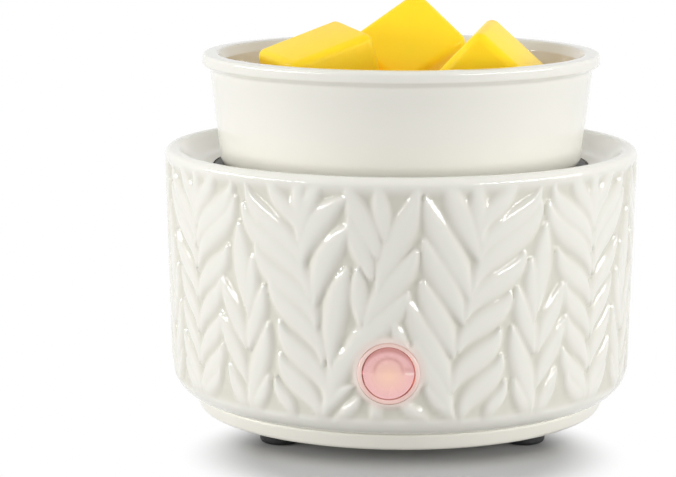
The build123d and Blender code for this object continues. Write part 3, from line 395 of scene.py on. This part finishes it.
def turned(section, steps, closed):
    """Turn a section of (radius, height) in millimetres about the upright axis."""
    bm = bmesh.new()
    verts = [bm.verts.new((r * MM, 0, z * MM)) for r, z in section]
    pairs = list(zip(verts, verts[1:]))
    if closed:
        pairs.append((verts[-1], verts[0]))
    edges = [bm.edges.new(pair) for pair in pairs]
    bmesh.ops.spin(
        bm, geom=verts + edges, cent=(0, 0, 0), axis=(0, 0, 1), angle=2 * pi, steps=steps, use_merge=True
    )
    return bm


def ramp(value, start, span):
    """Straight rise from 0 to 1 over a span."""
    return np.clip((value - start) / span, 0, 1)


def ease(share):
    """Soften both ends of a ramp."""
    return share * share * (3 - 2 * share)


def hump(value, centre, half):
    """Bell-shaped rise to 1 at a centre."""
    return np.exp(-((value - centre) / half) ** 2)


# Leaf carving, drawn as stems with leaves: angles in degrees from the switch, heights in millimetres
LEAF_ARC = radians(1) * 65.4
CARVE_DEPTH = 1.0
LEAF_HALF = 3.8
LEAF_SLENDERNESS = 0.17
LEAF_EDGE = 0.4
LEAF_MARGIN = 5
LEAF_POINTS = 64
HAND_SHIFT = 0.25
HAND_WIDTH = (0.95, 1.05)
STEM_GAP_TALL = 0.6
STEM_GAP_SHORT = 0.5
FADE_LOW_Z = 12.6
FADE_LOW_SPAN = 2.4
FADE_HIGH_SPAN = 3.4
BARE_RING = 8.5
BARE_RING_SPAN = 1.6
CARVE_BAND = 0.9
CARVE_LOW_Z = 11.5
CARVE_HIGH_Z = 75.2
CARVE_LEAST_RADIUS = 60.5
# Band of the wall whose hollows get the glaze's pool tint and painted shade
POOL_SHADE_LOW_Z = 13
POOL_SHADE_HIGH_Z = 75
POOL_SHADE_LEAST_RADIUS = 61.8

# Bends: where a leaf's two guide points lie, as shares of its reach and its rise
SWAY = ((0.0, 0.50), (0.93, 0.52))
STEEP = ((0.14, 0.34), (0.84, 0.62))
ARCH = ((0.0, 0.42), (0.45, 0.75))

# Leaves of the repeated stems: reach from the stem, height of the tip, height of the root
TALL_LEAVES = (
    (7.5, 76.5, 61), (14.2, 73.5, 54.5), (15.2, 69.5, 47.5), (12.2, 56.5, 39.5),
    (9.4, 47, 30.5), (9.0, 38, 21.5), (9.4, 29.5, 13), (8.2, 22.5, 10),
)
SHORT_AWAY = ((1.8, 63.5, 41), (7.6, 47.3, 29.5), (8.2, 37.2, 20), (6.4, 24.5, 10.5))
SHORT_NEAR = ((2.2, 54.5, 38), (5.3, 47.5, 29), (6.3, 37, 14), (6, 23, 10))

# Leaves of the two front stems and round the switch: angle and height of the root, then of the tip
RIGHT_OUTER = (
    (21.3, 61.5, 29.2, 76.5), (20.8, 54.5, 36, 73.5), (19.6, 47, 36.9, 70), (18, 40, 32.4, 56.7),
    (16.2, 31, 28.9, 46.4), (15, 20.5, 26.2, 37.2), (17, 12.5, 27, 30), (23, 11, 27.8, 23),
)
RIGHT_INNER = (
    (21.2, 59.5, 19.6, 76), (20.6, 55, 13, 77), (19.2, 43.5, 8.3, 72.5), (17.2, 38.5, 8, 61.3),
    (15, 30, 7.4, 50.6), (14.2, 21, 4.7, 45.2), (14.4, 15.5, 5.8, 34.5), (15.6, 12.5, 8.6, 22.4),
)
LEFT_OUTER = (
    (-21.3, 61.5, -28.5, 75.5), (-20.2, 51.5, -35.5, 73.5), (-18.6, 44.5, -36.4, 68.5), (-17, 37, -32.7, 58),
    (-15.5, 27.5, -29, 50.5), (-14.6, 18.5, -26.3, 38.2), (-16.5, 12.5, -26.6, 29.8), (-23, 11, -27.8, 23),
)
LEFT_INNER = (
    (-21.2, 62, -20.8, 75.5), (-21, 59.5, -15.8, 75), (-20.4, 53.5, -9.6, 72), (-17.4, 42.5, -8.4, 65),
    (-13.8, 26.5, -9.3, 53.5), (-14.4, 15.5, -5.8, 34), (-15.6, 12.5, -8.6, 22.4),
)
SWITCH_LEAVES = (
    (-2.6, 47.5, 6.4, 74.5), (-5.4, 38.5, 6.2, 58.6), (-10.2, 29, 4.6, 47.5), (4, 31.5, 0.8, 40.3),
    (-9, 29.5, -0.8, 40.6), (-0.9, 60.5, -2.2, 75), (-2.6, 56, -9.4, 75), (-4, 50.5, -8.9, 66.6),
    (-6.6, 38.5, -7, 53.8), (-3, 10, -2.8, 20.5), (9.6, 11.5, 2.2, 19.4), (-12.6, 11.5, -7, 19.4),
)
TALL_STEMS = (54, 90, 126, 162)
SHORT_STEMS = (36, 72, 108, 144)


def leaf_list():
    """Every leaf as (root angle, root height, tip angle, tip height, bend)."""
    leaves = []
    for bend, rows in (
        (STEEP, SWITCH_LEAVES), (STEEP, RIGHT_INNER), (SWAY, RIGHT_OUTER), (ARCH, LEFT_INNER),
        (SWAY, LEFT_OUTER),
    ):
        leaves += [(*leaf, bend) for leaf in rows]
    for side in (-1, 1):
        for stem in TALL_STEMS:
            leaves.append((side * stem, 60, side * stem, 76, STEEP))
            for lean in (-1, 1):
                for reach, top, low in TALL_LEAVES:
                    root = side * stem + lean * STEM_GAP_TALL
                    leaves.append((root, low, side * stem + lean * reach, top, SWAY))
        for stem in SHORT_STEMS:
            leaves += short_leaves(side * stem, side)
    return leaves + short_leaves(180, 1)


def short_leaves(stem, away):
    """Leaves of a short stem, fuller on the side away from the switch."""
    leaves = []
    for lean, rows in ((away, SHORT_AWAY), (-away, SHORT_NEAR)):
        for reach, top, low in rows:
            leaves.append((stem + lean * STEM_GAP_SHORT, low, stem + lean * reach, top, STEEP))
    return leaves


def arc_from(angle, spot):
    """Way along the wall from one angle to others, in millimetres."""
    return ((angle - spot + 180) % 360 - 180) * LEAF_ARC


def carve(angle, height):
    """Relief at points of the wall: 0 on the leaves' crests to 1 in the valleys between them."""
    hand = random.Random(11)
    valley = np.ones(angle.shape)
    blend = np.ones(angle.shape)
    along = np.linspace(0, 1, LEAF_POINTS)
    back = 1 - along
    swell = np.sin(pi * along ** 1.05) ** 0.82
    for root, low, tip, top, ((x1, z1), (x2, z2)) in leaf_list():
        tip += hand.uniform(-HAND_SHIFT, HAND_SHIFT)
        top += hand.uniform(-HAND_SHIFT, HAND_SHIFT)
        reach = (tip - root) * LEAF_ARC
        rise = top - low
        half = min(LEAF_HALF * hand.uniform(*HAND_WIDTH), LEAF_SLENDERNESS * (reach ** 2 + rise ** 2) ** 0.5)
        line_x = reach * (3 * x1 * back ** 2 * along + 3 * x2 * back * along ** 2 + along ** 3)
        line_z = low + rise * (3 * z1 * back ** 2 * along + 3 * z2 * back * along ** 2 + along ** 3)
        across = arc_from(angle, root)
        near = np.nonzero(
            (across > line_x.min() - LEAF_MARGIN) & (across < line_x.max() + LEAF_MARGIN)
            & (height > low - LEAF_MARGIN) & (height < top + LEAF_MARGIN)
        )[0]
        gap = np.hypot(across[near, None] - line_x, height[near, None] - line_z) / (half * swell + LEAF_EDGE)
        pillow = np.clip(1 - gap.min(axis=1) ** 3.0, 0, 1) ** 1.4
        valley[near] = np.minimum(valley[near], 1 - pillow)
        blend[near] *= 1 - pillow
    relief = 0.7 * valley + 0.3 * blend
    low_fade = ramp(height, start=FADE_LOW_Z, span=FADE_LOW_SPAN)
    fade = ease(low_fade * ramp(SHOULDER_Z - height, start=0, span=FADE_HIGH_SPAN))
    for spot, level in ((0, SWITCH_Z), (180, GROMMET_Z)):
        away = np.hypot(arc_from(angle, spot), height - level)
        fade = fade * ease(ramp(away, start=BARE_RING, span=BARE_RING_SPAN))
    return relief * fade


def wall_radius(z):
    """Radius of the plain wall at a height."""
    return BELLY_RADIUS + (RIM_RADIUS - BELLY_RADIUS) * (z - BELLY_Z) / (SHOULDER_Z - BELLY_Z)


def body_section():
    """Section of the body: belly, wall, rim, well, ledge and the inside."""
    line = []
    tuck = BELLY_RADIUS - SKIRT_RADIUS
    drop = BELLY_Z - BODY_FOOT_Z
    bend = (tuck ** 2 + drop ** 2) / (2 * tuck)
    sweep = asin(drop / bend)
    for k in range(BELLY_ROWS):
        turn = sweep * (1 - k / BELLY_ROWS)
        line.append((BELLY_RADIUS - bend * (1 - cos(turn)), BELLY_Z - bend * sin(turn)))
    for z in np.linspace(BELLY_Z, SHOULDER_Z, WALL_ROWS):
        line.append((wall_radius(z), z))
    for k in range(1, RIM_ROWS):
        turn = pi / 2 * k / RIM_ROWS
        line.append((RIM_RADIUS - RIM_ROUND * (1 - cos(turn)), SHOULDER_Z + RIM_ROUND * sin(turn)))
    under_z = LEDGE_Z - LEDGE_THICK
    inside = (
        (RIM_RADIUS - RIM_ROUND, RIM_Z, 0), (WELL_TOP_RADIUS, RIM_Z, WELL_TOP_ROUND),
        (WELL_FLOOR_RADIUS, PLATE_TOP_Z, WELL_FLOOR_ROUND), (SEAT_RADIUS, PLATE_TOP_Z, 0),
        (SEAT_RADIUS, LEDGE_Z, 0), (LEDGE_RADIUS, LEDGE_Z, EDGE_ROUND), (LEDGE_RADIUS, under_z, EDGE_ROUND),
        (RIM_RADIUS - BODY_WALL, under_z, INNER_ROUND), (BELLY_RADIUS - BODY_WALL, WALL_LOW_Z, INNER_ROUND),
        (OPENING_RADIUS, OPENING_TOP_Z, INNER_ROUND), (OPENING_RADIUS, BODY_FOOT_Z, EDGE_ROUND),
        (SKIRT_RADIUS, BODY_FOOT_Z, 0),
    )
    line.extend(tuple(point) for point in softened(inside, 3)[:-1])
    return line


def cut_hole(body, name, level, turn, seat_radius, hole_radius, reach):
    """Cut a stepped hole into the wall; reach is its outer end, step and inner end from the axis."""
    outer, step, inner = reach
    section = (
        (0, outer), (seat_radius, outer), (seat_radius, step),
        (hole_radius, step), (hole_radius, inner), (0, inner),
    )
    tool = turned(section, HOLE_STEPS, closed=False)
    close_up(tool)
    lay = Matrix.Translation((0, 0, level * MM)) @ Matrix.Rotation(radians(turn), 4, "X")
    bmesh.ops.transform(tool, matrix=lay, verts=tool.verts)
    mesh = mesh_of(name, tool)
    cutter = shown(name, mesh)
    cut = body.modifiers.new(name, "BOOLEAN")
    cut.object = cutter
    cut.solver = "EXACT"
    solid = body.evaluated_get(bpy.context.evaluated_depsgraph_get())
    shape = bpy.data.meshes.new_from_object(solid)
    body.modifiers.clear()
    body.data = shape
    bpy.data.objects.remove(cutter)
    bpy.data.meshes.remove(mesh)


def carved_body():
    """Turn the body, carve its wall, cut the switch and cord openings and mark the hollows for the glaze's
    pooling and painted shade.
    """
    bm = turned(body_section(), BODY_STEPS, closed=True)
    bmesh.ops.remove_doubles(bm, verts=bm.verts, dist=WELD)
    x, y, z = np.array([v.co for v in bm.verts]).T / MM
    radius = np.hypot(x, y)
    outer = (np.abs(radius - wall_radius(z)) < CARVE_BAND) & (radius > CARVE_LEAST_RADIUS)
    outer &= (z > CARVE_LOW_Z) & (z < CARVE_HIGH_Z)
    relief = np.zeros(len(z))
    relief[outer] = carve(np.degrees(np.arctan2(x, -y))[outer], z[outer])
    for vert, depth, r in zip(bm.verts, relief, radius):
        if depth > 0:
            share = (r - CARVE_DEPTH * depth) / r
            vert.co.x *= share
            vert.co.y *= share
    body = piece("carved_body", bm, "glaze", "housing", "ceramic_body", edge=62)
    cut_hole(body, "switch_hole", SWITCH_Z, 90, SWITCH_SEAT_RADIUS, SWITCH_HOLE_RADIUS, SWITCH_CUT)
    cut_hole(body, "cord_hole", GROMMET_Z, -90, GROMMET_SEAT_RADIUS, GROMMET_HOLE_RADIUS, GROMMET_CUT)
    # Mask of the carving's hollows, for glaze pooling and painted shade
    groove = body.data.attributes.new("hollow_pool_and_shade", "FLOAT", "POINT")
    place = np.zeros(len(body.data.vertices) * 3)
    body.data.vertices.foreach_get("co", place)
    x, y, z = place.reshape(-1, 3).T / MM
    radius = np.hypot(x, y)
    pool_and_shade = (radius > POOL_SHADE_LEAST_RADIUS) & (z > POOL_SHADE_LOW_Z) & (z < POOL_SHADE_HIGH_Z)
    groove.data.foreach_set("value", ramp(wall_radius(z) - radius, start=0, span=CARVE_DEPTH) * pool_and_shade)


def rocker_lens():
    """Thin lit cap over the rocker's V face at rest, with a round mark pressed into it and masks of painted
    glow, painted shade and a painted highlight.
    """
    front = [(LENS_RADIUS * k / LENS_ROWS, 1.0) for k in range(LENS_ROWS + 1)]
    rear = [(r, 0.0) for r, _ in reversed(front)]
    bm = turned(front + rear, LENS_STEPS, closed=False)
    bmesh.ops.remove_doubles(bm, verts=bm.verts, dist=WELD)
    painted_glow, shade, painted_highlight = (bm.verts.layers.float.new(name) for name in ("painted_glow", "shade", "painted_highlight"))
    for vert in bm.verts:
        x, up, level = vert.co / MM
        r = np.hypot(x, up)
        crease = (up * up + LENS_CREASE ** 2) ** 0.5 - LENS_CREASE
        mark = hump(r, centre=MARK_RADIUS, half=MARK_HALF)
        skin = LENS_BACK
        if level > 0.5:
            skin = LENS_SKIN - MARK_DEPTH * mark - 0.2 * max(0.0, r / LENS_RADIUS - 0.9)
        # Painted glow: brighter, more peach in the middle where the lamp shines through
        away = ((x / 5.2) ** 2 + ((up + 0.8) / 4.6) ** 2) ** 0.5
        # Painted shade: dark band along the top under the bezel, darker upper rim of the mark, dark patch
        # above the crease's end
        brow = ramp(np.hypot(x, up + 1.7), start=6.75, span=0.8)
        ledge = ramp(x, start=3.6, span=0.8) * hump(up, centre=1.0, half=0.7)
        vert[painted_glow] = float(np.clip(1.15 - away, 0, 1))
        vert[shade] = float(max(0.9 * brow, 0.5 * mark * ramp(up, start=-1.0, span=2.0), 0.4 * ledge))
        # Painted highlight: short bright line at the right end of the crease
        vert[painted_highlight] = float(0.6 * ramp(x, start=4.0, span=0.6) * hump(up, centre=-0.1, half=0.28))
        vert.co = (x * MM, -(LENS_STAND + crease * np.tan(LENS_TILT) + skin) * MM, up * MM)
    pivot_y = SWITCH_FACE_Y + PIVOT_DEPTH
    lay = Matrix.Translation((0, pivot_y * MM, SWITCH_Z * MM)) @ Matrix.Rotation(-LENS_TILT, 4, "X")
    bmesh.ops.transform(bm, matrix=lay, verts=bm.verts)
    lens = piece("rocker_lens", bm, "switch_lens", "rocker", edge=40)
    lens.data.materials[0] = lens_finish()


def glazed_dish():
    """Wax dish with a foot ring, a flaring wall and an overhanging lip."""
    corners = (
        (0, DISH_RECESS_Z, 0), (DISH_RECESS_RADIUS, DISH_RECESS_Z, DISH_RING_ROUND),
        (DISH_RING_RADIUS, PLATE_TOP_Z, DISH_RING_ROUND), (DISH_FOOT_RADIUS, PLATE_TOP_Z, DISH_FOOT_ROUND),
        (DISH_NECK_RADIUS, DISH_NECK_Z, DISH_LIP_ROUND),
        (DISH_LIP_RADIUS, DISH_LIP_LOW_Z, DISH_LIP_ROUND / 2),
        (DISH_LIP_RADIUS, DISH_LIP_Z, DISH_LIP_ROUND), (DISH_MOUTH_RADIUS, DISH_LIP_Z, DISH_LIP_ROUND),
        (DISH_THROAT_RADIUS, DISH_THROAT_Z, DISH_LIP_ROUND),
        (DISH_FLOOR_RADIUS, DISH_FLOOR_Z, DISH_FLOOR_ROUND), (0, DISH_FLOOR_Z, 0),
    )
    bm = turned(softened(corners, 8), DISH_STEPS, closed=False)
    piece("glazed_dish", bm, "glaze", "dish", "wax_dish", edge=50)


def melt(name, turn, body):
    """Wax melt, a bevelled block from the one mould, turned and set where its solid lies."""
    bm = bmesh.new()
    bmesh.ops.create_cube(bm, size=1.0)
    for vert in bm.verts:
        side = MELT_TOP if vert.co.z > 0 else MELT_FOOT
        vert.co = (vert.co.x * side * MM, vert.co.y * side * MM, vert.co.z * MELT_HEIGHT * MM)
    bmesh.ops.bevel(
        bm, geom=bm.edges[:], offset=MELT_ROUND * MM, offset_type="OFFSET", segments=6, profile=0.5,
        affect="EDGES", material=-1,
    )
    tilt = Matrix.Identity(4)
    for angle, axis in zip(turn, "XYZ"):
        tilt = tilt @ Matrix.Rotation(radians(angle), 4, axis)
    bmesh.ops.transform(bm, matrix=tilt, verts=bm.verts)
    low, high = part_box(name)
    place = np.array([v.co for v in bm.verts])
    shift = (low + high) / 2 - Vector((place.min(0) + place.max(0)) / 2)
    bmesh.ops.translate(bm, vec=shift, verts=bm.verts)
    piece("wax_" + name, bm, "wax", body, name, edge=60)


carved_body()
rocker_lens()
glazed_dish()
melt("melt_left", (95, 31, 15), "left_melt")
melt("melt_middle", (139, 43.5, -2), "middle_melt")
melt("melt_right", (12, 41, -11), "right_melt")


# Studio: pale floor, soft side and top lights, slatted panels for the highlights, white surround
FLOOR_Z = -0.05
SHADOW_SHIFT = (-0.003, 0.046, 0)
SHADOW_WIDE = 0.060
SHADOW_DEEP = 0.052
SURROUND_FILL = 0.285
CAMERA_LENS = 128.4
CAMERA_PLACE = (0.0293, -0.6703, 0.1676)
CAMERA_PITCH = radians(80.07)
CAMERA_YAW = radians(4.0)


def seen_rays(node, link):
    """1 for rays that show a surface straight, mirrored or through glass, 0 for those that light."""
    path = node("ShaderNodeLightPath")
    either = node("ShaderNodeMath")
    either.operation = "MAXIMUM"
    seen = node("ShaderNodeMath")
    seen.operation = "MAXIMUM"
    link(path.outputs["Is Camera Ray"], either.inputs[0])
    link(path.outputs["Is Glossy Ray"], either.inputs[1])
    link(either.outputs["Value"], seen.inputs[0])
    link(path.outputs["Is Transmission Ray"], seen.inputs[1])
    return seen.outputs["Value"]


def stage_floor():
    """Floor painted grey in an ellipse where the shadow falls, darkening the rendered shadow there; it runs
    out to white and is clear from below.
    """
    bm = bmesh.new()
    bmesh.ops.create_grid(bm, x_segments=1, y_segments=1, size=6.0)
    bmesh.ops.translate(bm, vec=(0, 0, FLOOR_Z * MM), verts=bm.verts)
    mesh = mesh_of("studio_floor", bm)
    material, node, link, shader = new_material("studio_floor")
    shader.inputs["Base Color"].default_value = colour(0.55, 0.55, 0.55)
    shader.inputs["Roughness"].default_value = 0.9
    shader.inputs["Specular IOR Level"].default_value = 0.0
    glow = node("ShaderNodeEmission")
    glow.inputs["Color"].default_value = colour(1, 1, 1)
    place = node("ShaderNodeTexCoord")
    shift = node("ShaderNodeVectorMath")
    shift.inputs[1].default_value = SHADOW_SHIFT
    squash = node("ShaderNodeVectorMath")
    squash.operation = "MULTIPLY"
    squash.inputs[1].default_value = (1 / SHADOW_WIDE, 1 / SHADOW_DEEP, 0)
    far = node("ShaderNodeVectorMath")
    far.operation = "LENGTH"
    # Painted shadow: grey floor inside the shadow's ellipse, white emission outside it
    spread = node("ShaderNodeMapRange")
    spread.interpolation_type = "SMOOTHSTEP"
    spread.inputs["From Min"].default_value = 0.62
    spread.inputs["From Max"].default_value = 1.0
    amount = node("ShaderNodeMath")
    amount.operation = "MULTIPLY"
    mix = node("ShaderNodeMixShader")
    link(place.outputs["Object"], shift.inputs[0])
    link(shift.outputs["Vector"], squash.inputs[0])
    link(squash.outputs["Vector"], far.inputs[0])
    link(far.outputs["Value"], spread.inputs["Value"])
    link(spread.outputs["Result"], amount.inputs[0])
    link(seen_rays(node, link), amount.inputs[1])
    link(amount.outputs["Value"], mix.inputs["Fac"])
    link(shader.outputs["BSDF"], mix.inputs[1])
    link(glow.outputs["Emission"], mix.inputs[2])
    below = node("ShaderNodeNewGeometry")
    clear = node("ShaderNodeBsdfTransparent")
    sided = node("ShaderNodeMixShader")
    link(below.outputs["Backfacing"], sided.inputs["Fac"])
    link(mix.outputs["Shader"], sided.inputs[1])
    link(clear.outputs["BSDF"], sided.inputs[2])
    link(sided.outputs["Shader"], material.node_tree.nodes["Material Output"].inputs["Surface"])
    mesh.materials.append(material)
    floor = shown("studio_floor", mesh)


def aimed(place, aim):
    """Turn that points a light from its place at its aim."""
    return (Vector(aim) - Vector(place)).to_track_quat("-Z", "Y")


def softbox(name, place, aim, size, power):
    """Rectangular soft light aimed at a point, not mirrored in the glaze."""
    lamp = bpy.data.lights.new(name, "AREA")
    lamp.shape = "RECTANGLE"
    lamp.size, lamp.size_y = size
    lamp.energy = power
    box = shown(name, lamp)
    box.location = place
    box.rotation_euler = aimed(place, aim).to_euler()
    box.visible_glossy = False


def louvre_light(name, place, aim, size, power):
    """Light panel behind upright slats, which shows as a row of dashes in the glaze."""
    bm = bmesh.new()
    bmesh.ops.create_grid(bm, x_segments=1, y_segments=1, size=0.5)
    bmesh.ops.scale(bm, vec=(size[0], size[1], 1), verts=bm.verts)
    mesh = mesh_of(name, bm)
    material, node, link, _ = new_material(name)
    spot = node("ShaderNodeTexCoord")
    slats = node("ShaderNodeTexWave")
    slats.bands_direction = "X"
    slats.inputs["Scale"].default_value = 4.6
    edge = node("ShaderNodeMapRange")
    edge.inputs["From Min"].default_value = 0.45
    edge.inputs["From Max"].default_value = 0.6
    edge.inputs["To Max"].default_value = power
    lit = node("ShaderNodeEmission")
    link(spot.outputs["Object"], slats.inputs["Vector"])
    link(slats.outputs["Fac"], edge.inputs["Value"])
    link(edge.outputs["Result"], lit.inputs["Strength"])
    link(lit.outputs["Emission"], material.node_tree.nodes["Material Output"].inputs["Surface"])
    mesh.materials.append(material)
    panel = shown(name, mesh)
    panel.matrix_world = Matrix.Translation(place) @ aimed(place, aim).to_matrix().to_4x4()
    panel.visible_camera = False
    panel.visible_diffuse = False
    panel.visible_shadow = False


def white_surround():
    """Surround that shows white and lights less."""
    world = bpy.data.worlds.new("white_studio")
    world.use_nodes = True
    bpy.context.scene.world = world
    node, link = world.node_tree.nodes.new, world.node_tree.links.new
    surround = world.node_tree.nodes["Background"]
    surround.inputs["Color"].default_value = colour(1, 1, 1)
    level = node("ShaderNodeMapRange")
    level.inputs["To Min"].default_value = SURROUND_FILL
    level.inputs["To Max"].default_value = 1.0
    link(seen_rays(node, link), level.inputs["Value"])
    link(level.outputs["Result"], surround.inputs["Strength"])


def photo_camera():
    """Camera at the photograph's angle."""
    lens = bpy.data.cameras.new("camera")
    lens.lens = CAMERA_LENS
    lens.sensor_width = 36.0
    lens.clip_start = 0.01
    camera = shown("camera", lens)
    camera.location = CAMERA_PLACE
    camera.rotation_euler = (CAMERA_PITCH, 0, CAMERA_YAW)
    bpy.context.scene.camera = camera


stage_floor()
softbox("side_left", place=(-0.80, -0.20, 0.15), aim=(0, 0, 0.04), size=(0.5, 0.28), power=3.9)
softbox("side_right", place=(0.80, -0.20, 0.15), aim=(0, 0, 0.04), size=(0.5, 0.28), power=3.6)
softbox("front_low", place=(0.0, -1.0, 0.10), aim=(0, 0, 0.02), size=(1.4, 0.16), power=2.6)
softbox("overhead", place=(0.0, -0.15, 0.90), aim=(0, 0, 0.05), size=(0.7, 0.5), power=3.0)
louvre_light("louvre_left", place=(-0.88, -0.29, 0.28), aim=(0, -0.03, 0.07), size=(1.15, 0.12), power=30.0)
louvre_light("louvre_right", place=(0.84, -0.38, 0.28), aim=(0, -0.03, 0.07), size=(1.05, 0.12), power=30.0)
white_surround()
photo_camera()
bpy.context.scene.view_settings.view_transform = "Standard"

bpy.context.view_layer.update()
